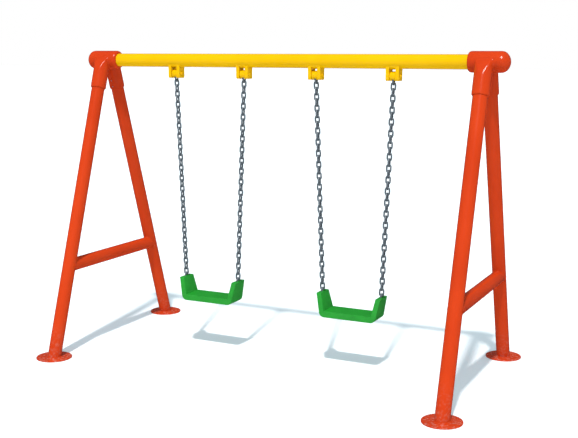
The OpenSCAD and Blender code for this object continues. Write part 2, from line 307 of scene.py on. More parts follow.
# --- Finishes --------------------------------------------------------------------------------


class Signal:
    """One output of a shader tree, so that its maths reads as Python."""

    def __init__(self, recipe: "Recipe", socket: bpy.types.NodeSocket) -> None:
        """Keeps the tree and the socket."""
        self.recipe = recipe
        self.socket = socket

    def _maths(self, operation: str, first: "Signal | float", second: "Signal | float") -> "Signal":
        """A Math node on two values, kept between 0 and 1 only where the caller clips it."""
        node = self.recipe.node("ShaderNodeMath", {"operation": operation}, {0: first, 1: second})
        return Signal(self.recipe, node.outputs[0])

    def __add__(self, other: "Signal | float") -> "Signal":
        """This plus another."""
        return self._maths("ADD", self, other)

    def __sub__(self, other: "Signal | float") -> "Signal":
        """This less another."""
        return self._maths("SUBTRACT", self, other)

    def __rsub__(self, other: float) -> "Signal":
        """A number less this."""
        return self._maths("SUBTRACT", other, self)

    def __mul__(self, other: "Signal | float") -> "Signal":
        """This times another."""
        return self._maths("MULTIPLY", self, other)

    def __truediv__(self, other: "Signal | float") -> "Signal":
        """This over another."""
        return self._maths("DIVIDE", self, other)

    def __pow__(self, other: "Signal | float") -> "Signal":
        """This to a power."""
        return self._maths("POWER", self, other)

    __radd__ = __add__
    __rmul__ = __mul__


class Recipe:
    """One material under way: a Principled shader and the nodes that feed it."""

    def __init__(self, name: str) -> None:
        """Starts the material with a Principled shader on its output."""
        self.material = bpy.data.materials.new(name)
        self.material.use_nodes = True
        self.tree = self.material.node_tree
        self.tree.nodes.clear()
        self.shader = self.node("ShaderNodeBsdfPrincipled")
        self.node("ShaderNodeOutputMaterial", {}, {"Surface": Signal(self, self.shader.outputs[0])})
        self.place = Signal(self, self.node("ShaderNodeTexCoord").outputs["Object"])

    def node(
        self, kind: str, settings: dict[str, object] | None = None,
        inputs: dict[str | int, object] | None = None,
    ) -> bpy.types.Node:
        """Adds one node.

        Args:
            kind: The node's type.
            settings: The node's own properties, set first; "stops" fills a colour ramp.
            inputs: What each input socket, by name or number, is set or linked to.

        Returns:
            The new node.
        """
        made = self.tree.nodes.new(kind)
        for name, value in (settings or {}).items():
            if name == "stops":
                ramp = made.color_ramp
                while len(ramp.elements) < len(value):
                    ramp.elements.new(1)
                for element, (position, level) in zip(ramp.elements, value):
                    element.position = position
                    element.color = (level, level, level, 1)
            else:
                setattr(made, name, value)
        for name, value in (inputs or {}).items():
            if isinstance(value, Signal):
                self.tree.links.new(value.socket, made.inputs[name])
            elif isinstance(value, tuple) and made.inputs[name].type == "RGBA":
                made.inputs[name].default_value = (*value, 1)
            else:
                made.inputs[name].default_value = value
        return made

    def noise(self, scale: float, detail: float = 2, stretch: Colour = (1, 1, 1)) -> Signal:
        """Soft noise from 0 to 1, with so many cells in a metre."""
        where = self.node("ShaderNodeMapping", {}, {"Vector": self.place, "Scale": stretch})
        made = self.node(
            "ShaderNodeTexNoise", {},
            {"Vector": Signal(self, where.outputs[0]), "Scale": scale, "Detail": detail},
        )
        return Signal(self, made.outputs[0])

    def cells(self, scale: float) -> Signal:
        """A grey level from 0 to 1 that is constant in each crystal-like cell."""
        made = self.node("ShaderNodeTexVoronoi", {}, {"Vector": self.place, "Scale": scale})
        parts = self.node(
            "ShaderNodeSeparateColor", {}, {"Color": Signal(self, made.outputs["Color"])}
        )
        return Signal(self, parts.outputs[0])

    def height(self) -> Signal:
        """The height above the ground in metres."""
        parts = self.node("ShaderNodeSeparateXYZ", {}, {"Vector": self.place})
        return Signal(self, parts.outputs[2])

    def ramp(self, value: Signal, *stops: tuple[float, float]) -> Signal:
        """A value looked up on a ramp of (position, level) stops."""
        made = self.node("ShaderNodeValToRGB", {"stops": stops}, {0: value})
        return Signal(self, made.outputs[0])

    def mix(self, share: "Signal | float", first: object, second: object) -> Signal:
        """A colour between two, by a share from 0 to 1."""
        made = self.node(
            "ShaderNodeMix", {"data_type": "RGBA"}, {0: share, 6: first, 7: second}
        )
        return Signal(self, made.outputs[2])

    def bump(self, height: Signal, strength: float, depth: float) -> Signal:
        """A normal from a height, with how strong and how deep it is."""
        made = self.node(
            "ShaderNodeBump", {}, {"Strength": strength, "Distance": depth, "Height": height}
        )
        return Signal(self, made.outputs[0])

    def finish(self, **sockets: object) -> None:
        """Sets or links the Principled shader's sockets, with _ for a space in a name."""
        for name, value in sockets.items():
            socket = self.shader.inputs[name.replace("_", " ")]
            if isinstance(value, Signal):
                self.tree.links.new(value.socket, socket)
            else:
                socket.default_value = (*value, 1) if isinstance(value, tuple) else value


@dataclass(frozen=True)
class Finish:
    """What a surface is made of. Each kind mixes its shader in its own way."""

    slot: str

    def material(self) -> bpy.types.Material:
        """Makes the material, named after the record's slot."""
        recipe = Recipe(self.slot)
        self.mix(recipe)
        return recipe.material

    def mix(self, recipe: Recipe) -> None:
        """Fills in the shader."""
        raise NotImplementedError


@dataclass(frozen=True)
class PowderCoat(Finish):
    """A thick, glossy baked coat over steel, a little dusty near the ground."""

    colour: Colour
    deep: Colour
    roughness: float = 0.13
    dust: Colour = (0.42, 0.36, 0.30)
    dust_top: float = 0.30

    def mix(self, recipe: Recipe) -> None:
        """Drifting tone, fine orange peel, and dust that thins out upwards."""
        drift = recipe.ramp(recipe.noise(2.6, 4), (0.35, 0), (0.65, 1))
        peel = recipe.noise(210, 2)
        specks = recipe.ramp(recipe.noise(46, 8), (0.48, 0), (0.72, 1))
        low = recipe.ramp(recipe.height() / self.dust_top, (0, 1), (0.12, 0.55), (1, 0))
        dust = low * specks * 0.35
        tone = recipe.mix(drift, self.deep, self.colour)
        recipe.finish(
            Base_Color=recipe.mix(dust, tone, self.dust),
            Roughness=self.roughness + drift * 0.03 + dust * 0.8,
            Normal=recipe.bump(peel, 0.10, 0.35 * MM),
            IOR=1.45,
        )


@dataclass(frozen=True)
class ChainSteel(Finish):
    """Dull slate-grey galvanised wire, with a faint crystal pattern and darker grime."""

    bright: Colour = (0.165, 0.190, 0.215)
    grime: Colour = (0.070, 0.080, 0.090)

    def mix(self, recipe: Recipe) -> None:
        """Crystal cells in the zinc, grime in patches, and a rough skin."""
        spangle = recipe.cells(260)
        patches = recipe.ramp(recipe.noise(38, 5), (0.40, 0), (0.66, 1))
        skin = recipe.noise(620, 3)
        zinc = recipe.mix(spangle * 0.5, self.bright, tuple(0.72 * c for c in self.bright))
        recipe.finish(
            Base_Color=recipe.mix(patches * 0.55, zinc, self.grime),
            Metallic=0.40 - patches * 0.2,
            Roughness=0.42 + spangle * 0.12 + patches * 0.14,
            Normal=recipe.bump(skin, 0.22, 0.25 * MM),
        )


@dataclass(frozen=True)
class MouldedPlastic(Finish):
    """Semi-gloss moulded plastic, coloured through, with a fine grain and light scuffs."""

    colour: Colour
    deep: Colour
    scuff: Colour = (0.16, 0.44, 0.17)

    def mix(self, recipe: Recipe) -> None:
        """Flow marks in the colour, a fine grain, and scuffs that dull the gloss."""
        flow = recipe.ramp(recipe.noise(7, 5, (1, 1, 2.2)), (0.36, 0), (0.66, 1))
        grain = recipe.noise(820, 2)
        streaks = recipe.ramp(recipe.noise(60, 9, (0.5, 3.2, 3.2)), (0.60, 0), (0.74, 1))
        scuffs = streaks * recipe.ramp(recipe.noise(9, 3), (0.46, 0), (0.62, 1))
        tone = recipe.mix(flow, self.deep, self.colour)
        recipe.finish(
            Base_Color=recipe.mix(scuffs * 0.35, tone, self.scuff),
            Roughness=0.36 + grain * 0.08 + scuffs * 0.22,
            Normal=recipe.bump(grain, 0.16, 0.18 * MM),
        )


@dataclass(frozen=True)
class PlatedSteel(Finish):
    """Plated or ground steel: screws, pins, rings and bearings."""

    colour: Colour
    roughness: float
    cells: float

    def mix(self, recipe: Recipe) -> None:
        """Patchy plating with fine scratches."""
        patches = recipe.cells(self.cells)
        scratches = recipe.noise(500, 3, (0.2, 2.4, 2.4))
        recipe.finish(
            Base_Color=recipe.mix(patches * 0.4, self.colour, tuple(0.8 * c for c in self.colour)),
            Metallic=0.9,
            Roughness=self.roughness + patches * 0.08,
            Normal=recipe.bump(scratches, 0.12, 0.1 * MM),
        )


@dataclass(frozen=True)
class PlainGround(Finish):
    """The studio's matt, nearly white floor."""

    colour: Colour

    def mix(self, recipe: Recipe) -> None:
        """Nearly even, with a very faint drift."""
        fainter = tuple(0.99 * c for c in self.colour)
        recipe.finish(
            Base_Color=recipe.mix(recipe.noise(0.6), self.colour, fainter),
            Roughness=1.0,
            Specular_IOR_Level=0.0,
        )


# --- The parts -------------------------------------------------------------------------------


@dataclass(frozen=True)
class Layout:
    """Where the CAD puts the frame, read from its boxes, and the sizes that no box gives."""

    beam_z: float
    beam_half: float
    pipe_r: float
    plane_x: float
    foot_y: float
    plate_r: float
    plate_t: float
    brace_z: float
    wall: float = 3.6 * MM
    top_gap: float = 131 * MM
    leg_stop_web: float = 52 * MM

    @classmethod
    def read(cls) -> "Layout":
        """Reads the beam, one base plate and one brace."""
        low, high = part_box("top_beam")
        plate_low, plate_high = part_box("right_back_base_plate")
        brace_low, brace_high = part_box("right_brace")
        return cls(
            beam_z=(low.z + high.z) / 2,
            beam_half=high.x,
            pipe_r=(high.z - low.z) / 2,
            plane_x=(plate_low.x + plate_high.x) / 2,
            foot_y=(plate_low.y + plate_high.y) / 2,
            plate_r=(plate_high.x - plate_low.x) / 2,
            plate_t=plate_high.z,
            brace_z=(brace_low.z + brace_high.z) / 2,
        )

    @property
    def lean(self) -> float:
        """How far a leg leans out from the vertical, in degrees."""
        return math.degrees(math.atan((self.foot_y - self.top_gap / 2) / self.beam_z))

    @property
    def leg_stop(self) -> float:
        """Distance down a leg's axis from the beam's height to the leg's end."""
        shift = self.top_gap / 2 * math.sin(math.radians(self.lean))
        return self.pipe_r + self.leg_stop_web - shift

    def leg_space(self, side: int, depth: int) -> Matrix:
        """The top of a leg's axis, with local -Z running down the leg."""
        return at(side * self.plane_x, depth * self.top_gap / 2, self.beam_z, depth * self.lean)


class Workshop:
    """Dresses finished meshes and puts each in place of its CAD node."""

    def __init__(self, finishes: list[Finish]) -> None:
        """Makes every material once."""
        self.materials = {finish.slot: finish.material() for finish in finishes}

    def deliver(self, obj: bpy.types.Object, node: str, body: str, slot: str) -> None:
        """Names, shades and dresses a piece, and lets it stand for its CAD node.

        Args:
            obj: The finished mesh, placed in the row frame.
            node: The CAD node that it stands for.
            body: The CAD body that it rides on.
            slot: The record's material slot.
        """
        shade(obj)
        obj.name = f"{node}_made"
        obj.data.name = obj.name
        obj.data.materials.clear()
        obj.data.materials.append(self.materials[slot])
        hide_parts(node)
        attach(obj, body)
        log.info("%s: %d faces on %s", obj.name, len(obj.data.polygons), body)


@dataclass
class PipeFrame:
    """The legs, braces, base plates and top beam."""

    layout: Layout
    bead: float = 4.5 * MM
    anchor_circle: float = 115 * MM
    anchor_r: float = 7 * MM
    anchors: int = 4
    plate_edge: float = 2.5 * MM

    def top_beam(self) -> bpy.types.Object:
        """One straight pipe that ends inside both castings."""
        beam = pipe(self.layout.pipe_r, self.layout.wall, 2 * self.layout.beam_half)
        return settle(beam, along_x(-self.layout.beam_half, 0, self.layout.beam_z))

    def leg(self, side: int, depth: int) -> bpy.types.Object:
        """A pipe from its stop in the casting to the top of its base plate."""
        size = self.layout
        length = size.beam_z / math.cos(math.radians(size.lean)) + size.pipe_r
        leg = pipe(size.pipe_r, size.wall, length - size.leg_stop)
        settle(leg, size.leg_space(side, depth) @ Matrix.Translation((0, 0, -length)))
        reach = Vector((size.plate_r, 2 * size.plate_r, size.plate_r))
        foot = Vector((side * size.plane_x, depth * size.foot_y, size.plate_t - reach.z))
        return combine(leg, block(foot - reach, foot + reach), Blend.CUT)

    def brace(self, side: int) -> bpy.types.Object:
        """A level pipe saddled to both legs, with a weld bead round each end."""
        size = self.layout
        half = size.top_gap / 2 + (size.beam_z - size.brace_z) * math.tan(math.radians(size.lean))
        place = at(side * size.plane_x, half, size.brace_z, 90)
        brace = settle(pipe(size.pipe_r, size.wall, 2 * half), place)
        beads = []
        for depth in SIDES:
            leg_space = size.leg_space(side, depth)
            cutter = settle(rod(size.pipe_r, -2 * size.beam_z, 0, 96), leg_space)
            combine(brace, cutter, Blend.CUT)
            beads.append(
                weld_bead(
                    brace,
                    lambda p, s=leg_space: abs(off_axis(p, s) - size.pipe_r) < 0.3 * MM
                    and abs(off_axis(p, place) - size.pipe_r) < NEAR,
                    self.bead,
                )
            )
        return gather([brace, *beads])

    def base_plate(self, side: int, depth: int) -> bpy.types.Object:
        """A round plate with anchor holes, and the weld bead round the leg's foot."""
        size, edge = self.layout, self.plate_edge
        plate = turned(
            [(size.plate_r - CUT, 0), (size.plate_r, CUT)]
            + arc((size.plate_r - edge, size.plate_t - edge), edge, 0, 90, 5),
            segments=96,
        )
        flare = CUT
        hole = turned(
            [
                (self.anchor_r, -CUT), (self.anchor_r, size.plate_t - flare),
                (self.anchor_r + 2 * flare, size.plate_t + flare),
            ],
            segments=40,
        )
        for i in range(self.anchors):
            turn = Matrix.Rotation(math.tau / self.anchors * (i + 0.5), 4, "Z")
            place = turn @ Matrix.Translation((self.anchor_circle, 0, 0))
            combine(plate, copy_of(hole, place), Blend.CUT)
        bpy.data.objects.remove(hole)
        settle(plate, at(side * size.plane_x, depth * size.foot_y, 0))
        leg = self.leg(side, depth)
        leg_space = size.leg_space(side, depth)
        bead = weld_bead(
            leg,
            lambda p: p.z < size.plate_t + NEAR and off_axis(p, leg_space) > size.pipe_r - NEAR,
            self.bead,
        )
        bpy.data.objects.remove(leg)
        return gather([plate, bead])

    def build(self, shop: Workshop) -> None:
        """Builds and delivers every piece of pipework."""
        shop.deliver(self.top_beam(), "top_beam", "frame", "yellow_paint")
        for side in SIDES:
            name = SIDE_NAMES[side]
            shop.deliver(self.brace(side), f"{name}_brace", "frame", "red_paint")
            for depth in SIDES:
                corner = f"{name}_{DEPTH_NAMES[depth]}"
                shop.deliver(self.leg(side, depth), f"{corner}_leg", "frame", "red_paint")
                plate = self.base_plate(side, depth)
                shop.deliver(plate, f"{corner}_base_plate", "frame", "red_paint")


@dataclass
class Corner:
    """A cast corner: a closed sleeve for the beam with two leg sockets, and its set screws."""

    layout: Layout
    side: int
    sleeve_r: float
    sleeve_in: float
    sleeve_out: float
    rim_round: float = 21 * MM
    dome: float = 64 * MM
    dome_side: float = 0.6
    socket_wall: float = 10 * MM
    socket_len: float = 262 * MM
    socket_rim: float = 3 * MM
    crown_drop: float = 130 * MM
    crown_r: float = 250 * MM
    fit: float = 0.3 * MM
    grain: float = 2.6 * MM
    melt: int = 56
    swell: float = 0.6 * MM
    screw_r: float = 6 * MM
    hex_r: float = 3.4 * MM
    hex_depth: float = 5 * MM
    screw_inset: float = 30 * MM
    thread_fit: float = 0.05 * MM

    @classmethod
    def read(cls, layout: Layout, side: int) -> "Corner":
        """Reads the sleeve's size from the casting's box."""
        low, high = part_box(f"{SIDE_NAMES[side]}_corner_casting")
        ends = sorted(abs(x) for x in (low.x, high.x))
        return cls(
            layout, side, high.z - layout.beam_z, layout.plane_x - ends[0], ends[1] - layout.plane_x
        )

    @property
    def sleeve_space(self) -> Matrix:
        """The beam's axis in the leg plane, with local Z outwards."""
        return along_x(self.side * self.layout.plane_x, 0, self.layout.beam_z, self.side)

    @property
    def socket_r(self) -> float:
        """Outer radius of a leg socket."""
        return self.layout.pipe_r + self.socket_wall

    def skin(self) -> bpy.types.Object:
        """The casting's outside: turned shapes fused, then melted together for cast fillets."""
        radius, rim, side_arc = self.sleeve_r, self.rim_round, self.dome_side * self.sleeve_r
        top_arc = (radius**2 + self.dome**2 - 2 * radius * side_arc) / 2 / (self.dome - side_arc)
        side_y, top_y = self.sleeve_out - self.dome, self.sleeve_out - top_arc
        meet = math.degrees(math.atan2(side_y - top_y, radius - side_arc))
        body = turned(
            arc((radius - rim, rim - self.sleeve_in), rim, -90, 0, 8)
            + arc((radius - side_arc, side_y), side_arc, 0, meet, 8)
            + arc((0, top_y), top_arc, meet, 90, 10)[1:-1]
            + [(0, self.sleeve_out)],
            segments=96,
        )
        settle(body, self.sleeve_space)
        for depth in SIDES:
            socket = settle(self.socket(depth), self.layout.leg_space(self.side, depth))
            combine(body, socket, Blend.FUSE)
        modify(body, "REMESH", mode="VOXEL", voxel_size=self.grain, use_smooth_shade=True)
        modify(body, "DISPLACE", strength=self.swell, mid_level=0)
        return modify(body, "SMOOTH", factor=0.5, iterations=self.melt)

    def socket(self, depth: int) -> bpy.types.Object:
        """A leg socket that keeps its width up to the sleeve, its outer side rounded over."""
        radius, rim = self.socket_r, self.socket_rim
        made = turned(
            arc((radius - rim, rim - self.socket_len), rim, -90, 0, 4)
            + [(radius, self.sleeve_r), (0, self.sleeve_r)],
            segments=96,
        )
        reach = Vector((2 * radius, 2 * radius, -self.crown_drop))
        limit = block(Vector((-reach.x, -reach.y, -2 * self.socket_len)), reach)
        round_over = settle(
            rod(self.crown_r, -reach.x, reach.x, 192),
            along_x(0, depth * (radius - self.crown_r), -self.crown_drop),
        )
        return combine(made, combine(limit, round_over, Blend.FUSE), Blend.KEEP)

    def casting(self) -> bpy.types.Object:
        """The skin with the beam's bore, the legs' bores and the set screws' holes."""
        bore_r = self.layout.pipe_r + self.fit
        depth_in = self.layout.beam_half - self.layout.plane_x + self.fit
        cutters = [settle(rod(bore_r, -self.sleeve_in - CUT, depth_in, 96), self.sleeve_space)]
        for depth in SIDES:
            socket_bore = rod(bore_r, -self.socket_len - CUT, self.fit - self.layout.leg_stop, 96)
            cutters.append(settle(socket_bore, self.layout.leg_space(self.side, depth)))
        cutters += self.screws(self.thread_fit, False)
        tool = cutters[0]
        for cutter in cutters[1:]:
            combine(tool, cutter, Blend.FUSE)
        return combine(self.skin(), tool, Blend.CUT)

    def screw_places(self) -> list[tuple[Matrix, float]]:
        """Where each set screw's axis starts and how thick the wall is that it goes through."""
        size, wall = self.layout, self.sleeve_r - self.layout.pipe_r
        reaches = ((size.leg_stop + self.socket_len) / 2, self.socket_len - self.screw_inset)
        places = [
            (
                size.leg_space(self.side, depth) @ at(0, 0, -reach, depth * 90),
                self.socket_wall,
            )
            for depth in SIDES
            for reach in reaches
        ]
        shift = (self.sleeve_in + self.socket_r) / 2
        for end in SIDES:
            x = self.side * size.plane_x + end * shift
            places.append((at(x, 0, size.beam_z, 180), wall))
        return places

    def screws(self, fit: float, detailed: bool) -> list[bpy.types.Object]:
        """The set screws, or plain cutters for their holes.

        Args:
            fit: Extra radius and length.
            detailed: True gives each its chamfers and hexagon socket.

        Returns:
            One solid for each screw.
        """
        made = []
        for place, wall in self.screw_places():
            start, end = self.layout.pipe_r + self.fit, self.layout.pipe_r + wall + fit
            radius, chamfer = self.screw_r + fit, 0.8 * MM
            if detailed:
                screw = turned(
                    [
                        (radius - chamfer, start), (radius, start + chamfer),
                        (radius, end - chamfer), (radius - chamfer, end),
                    ],
                    segments=32,
                )
                combine(screw, rod(self.hex_r, end - self.hex_depth, end + CUT, 6), Blend.CUT)
            else:
                screw = rod(radius, start - 2 * CUT, end + CUT, 32)
            made.append(settle(screw, place))
        return made

    def build(self, shop: Workshop) -> None:
        """Builds and delivers the casting and its screws."""
        name = SIDE_NAMES[self.side]
        shop.deliver(self.casting(), f"{name}_corner_casting", "frame", "red_paint")
        screws = gather(self.screws(0, True))
        shop.deliver(screws, f"{name}_set_screws", "frame", "zinc_steel")


@dataclass
class Pivot:
    """A hanger under the beam with its bearings, pivot block, screws, rings and link pin."""

    layout: Layout
    x: float
    pivot_z: float
    width: float
    depth: float
    low: float
    cheek: float = 28 * MM
    corner: float = 18 * MM
    saddle: float = 6 * MM
    bearing_r: float = 20 * MM
    bearing_w: float = 12 * MM
    screw_r: float = 8.5 * MM
    head_r: float = 17 * MM
    head_h: float = 9 * MM
    block_r: float = 38 * MM
    gap: float = 1.5 * MM
    part_gap: float = 0.3 * MM
    head_gap: float = 0.5 * MM
    slot: float = 19.4 * MM
    slot_half_y: float = 27.75 * MM
    slot_top: float = 5 * MM
    screw_stop: float = 12 * MM
    pin_r: float = 5 * MM
    pin_drop: float = 17 * MM
    fit: float = 0.05 * MM
    bead: float = 3 * MM
    lip_step: float = 4 * MM
    ring_w: float = 3.5 * MM
    hex_r: float = 5.8 * MM
    hex_depth: float = 6 * MM

    @property
    def cheek_x(self) -> float:
        """Distance from the middle to a cheek's inner face."""
        return self.width / 2 - self.cheek

    @property
    def block_x(self) -> float:
        """Half the pivot block's length."""
        return self.cheek_x - self.gap

    def axis(self, drop: float = 0, way: int = 1) -> Matrix:
        """The pivot axis, or a line below it, with local Z along X."""
        return along_x(self.x, 0, self.pivot_z - drop, way)

    def hanger(self) -> bpy.types.Object:
        """Two cheeks and a saddle plate in one, welded under the beam."""
        beam = at(0, 0, self.layout.beam_z, 90, "Y")
        half = self.depth / 2
        top = self.layout.beam_z - math.sqrt(self.layout.pipe_r**2 - half**2)
        made = block(
            Vector((self.x - self.width / 2, -half, self.low)),
            Vector((self.x + self.width / 2, half, top)),
        )
        for face in SIDES:
            with editing(
                made, Pick.EDGES, lambda p, f=face: p.z < self.low + NEAR and p.y * f > 0
            ):
                bpy.ops.mesh.bevel(offset=self.corner, segments=10, affect="EDGES")
        channel = block(
            Vector((self.x - self.cheek_x, -2 * half, self.low - half)),
            Vector((self.x + self.cheek_x, 2 * half, self.layout.beam_z)),
        )
        saddle_r = self.layout.pipe_r + self.saddle
        combine(channel, settle(rod(saddle_r, -1, 1, 192), at(self.x, 0, 0) @ beam), Blend.CUT)
        combine(made, channel, Blend.CUT)
        seat_r = self.layout.pipe_r
        combine(made, settle(rod(seat_r, -1, 1, 192), at(self.x, 0, 0) @ beam), Blend.CUT)
        bead = weld_bead(
            made,
            lambda p: off_axis(p, beam) < seat_r + NEAR
            and (abs(p.y) > half - NEAR or abs(abs(p.x - self.x) - self.width / 2) < NEAR),
            self.bead,
        )
        lip = self.screw_r + self.lip_step
        pocket = self.cheek_x + self.bearing_w
        bore = rod(lip, -self.width, self.width)
        combine(bore, rod(self.bearing_r + self.fit, -pocket, pocket), Blend.FUSE)
        combine(made, settle(bore, self.axis()), Blend.CUT)
        soften(made, 1.2 * MM, 3, 40)
        return gather([made, bead])

    def bearings(self) -> list[bpy.types.Object]:
        """Two ball bearings: inner and outer race with a sunk seal between them."""
        inner, outer = self.screw_r + self.fit, self.bearing_r
        start, end = self.cheek_x, self.cheek_x + self.bearing_w
        edge, sink, race = 0.6 * MM, 0.5 * MM, 2.6 * MM
        profile = [
            (inner, start + edge), (inner + edge, start), (inner + race, start),
            (inner + race, start + sink), (outer - race, start + sink), (outer - race, start),
            (outer - edge, start), (outer, start + edge), (outer, end - edge),
            (outer - edge, end), (outer - race, end), (outer - race, end - sink),
            (inner + race, end - sink), (inner + race, end), (inner + edge, end),
            (inner, end - edge),
        ]
        return [settle(turned(profile, 64, ring=True), self.axis(way=face)) for face in SIDES]

    def pivot_block(self) -> bpy.types.Object:
        """The round block that turns between the cheeks, slotted for the chain."""
        edge, reach = 1.5 * MM, self.block_x
        made = turned(
            [
                (self.block_r - edge, -reach), (self.block_r, edge - reach),
                (self.block_r, reach - edge), (self.block_r - edge, reach),
            ],
            segments=96,
        )
        settle(made, self.axis())
        far = 2 * self.block_r
        middle = Vector((self.x, 0, self.pivot_z))
        slot = block(
            middle - Vector((self.slot / 2, self.slot_half_y, far)),
            middle + Vector((self.slot / 2, self.slot_half_y, self.slot_top)),
        )
        combine(made, slot, Blend.CUT)
        for face in SIDES:
            hole = rod(self.screw_r + self.fit, self.screw_stop - self.part_gap, reach + CUT)
            combine(made, settle(hole, self.axis(way=face)), Blend.CUT)
        pin_hole = rod(self.pin_r + self.fit, -reach - CUT, reach + CUT)
        combine(made, settle(pin_hole, self.axis(self.pin_drop)), Blend.CUT)
        return soften(made, 0.8 * MM, 2, 50)

    def shoulder_screws(self) -> list[bpy.types.Object]:
        """Two screws with a domed head and a hexagon socket."""
        made = []
        start = self.width / 2 + self.head_gap
        lip = 1 * MM
        dome = [
            (self.head_r * math.cos(a), start + lip + (self.head_h - lip) * math.sin(a))
            for a in (math.radians(8 * i) for i in range(11))
        ]
        for face in SIDES:
            screw = turned(
                [
                    (self.screw_r - CUT, self.screw_stop), (self.screw_r, self.screw_stop + CUT),
                    (self.screw_r, start), (self.head_r - 0.4 * MM, start),
                    (self.head_r, start + 0.4 * MM), *dome,
                ],
                segments=48,
            )
            top = start + self.head_h
            combine(screw, rod(self.hex_r, top - self.hex_depth, top + CUT, 6), Blend.CUT)
            made.append(settle(soften(screw, 0.3 * MM, 2, 50), self.axis(way=face)))
        return made

    def spacer_rings(self) -> list[bpy.types.Object]:
        """A thin ring between the block and each bearing."""
        inner, outer = self.screw_r + self.fit, self.screw_r + self.ring_w
        start, end, edge = self.block_x, self.cheek_x - self.part_gap, 0.2 * MM
        profile = [
            (inner, start), (outer - edge, start), (outer, start + edge),
            (outer, end - edge), (outer - edge, end), (inner, end),
        ]
        return [settle(turned(profile, 48, ring=True), self.axis(way=face)) for face in SIDES]

    def link_pin(self) -> bpy.types.Object:
        """The pin through the block that the first link hangs on."""
        return settle(chamfered_pin(self.pin_r, CUT - self.block_x, self.block_x - CUT),
                      self.axis(self.pin_drop))


def chamfered_pin(radius: float, start: float, end: float) -> bpy.types.Object:
    """A round pin along Z with a chamfer at each end and a centre mark."""
    edge = 0.9 * MM
    pin = turned(
        [
            (radius - edge, start), (radius, start + edge),
            (radius, end - edge), (radius - edge, end),
        ],
        segments=40,
    )
    for tip, way in ((start, -1), (end, 1)):
        mark = turned([(1.6 * MM, tip + way * 0.5 * MM), (0.3 * MM, tip - way * 1.2 * MM)], 24)
        combine(pin, mark, Blend.CUT)
    return pin


@dataclass
class Chain:
    """A chain of welded links between a link pin and a seat pin."""

    top: Vector
    bottom: Vector
    links: int = 39
    wire_r: float = 7.5 * MM
    inner: float = 46.5 * MM
    bore: float = 19.5 * MM
    slack: float = 0.15 * MM
    pin_r: float = 5 * MM
    bend_steps: int = 6
    wire_sides: int = 8

    @property
    def pitch(self) -> float:
        """Distance from one link's middle to the next."""
        return self.inner - self.slack

    def link(self) -> bpy.types.Object:
        """One link in the YZ plane: a round of wire bent twice through half a turn."""
        bend = self.bore / 2 + self.wire_r
        straight = self.inner - self.bore
        bpy.ops.object.select_all(action="DESELECT")
        bpy.ops.mesh.primitive_circle_add(
            vertices=self.wire_sides, radius=self.wire_r, location=(0, bend, -straight / 2)
        )
        made = settle(bpy.context.object)
        with editing(made, Pick.EDGES):
            for way in SIDES:
                bpy.ops.mesh.extrude_region_move(
                    TRANSFORM_OT_translate={"value": (0, 0, -way * straight)}
                )
                bpy.ops.mesh.spin(
                    steps=self.bend_steps, angle=math.pi, axis=(-1, 0, 0),
                    center=(0, 0, -way * straight / 2),
                )
            bpy.ops.mesh.select_all(action="SELECT")
            bpy.ops.mesh.remove_doubles(threshold=NEAR)
            bpy.ops.mesh.normals_make_consistent(inside=False)
        return made

    def build(self) -> bpy.types.Object:
        """Every link in a row, every other one turned a quarter, from pin to pin."""
        link = self.link()
        first = self.inner / 2 - self.pin_r - self.slack
        rows = []
        for start, turn in ((0, 0), (1, 90)):
            row = copy_of(link, at(0, 0, -first - start * self.pitch, turn, "Z"))
            rows.append(
                modify(
                    row, "ARRAY", count=(self.links + 1 - start) // 2,
                    use_relative_offset=False, use_constant_offset=True,
                    constant_offset_displace=(0, 0, -2 * self.pitch),
                )
            )
        bpy.data.objects.remove(link)
        run = self.bottom - self.top
        lean = math.degrees(math.atan2(-run.x, -run.z))
        return settle(gather(rows), at(self.top.x, self.top.y, self.top.z, lean, "Y"))


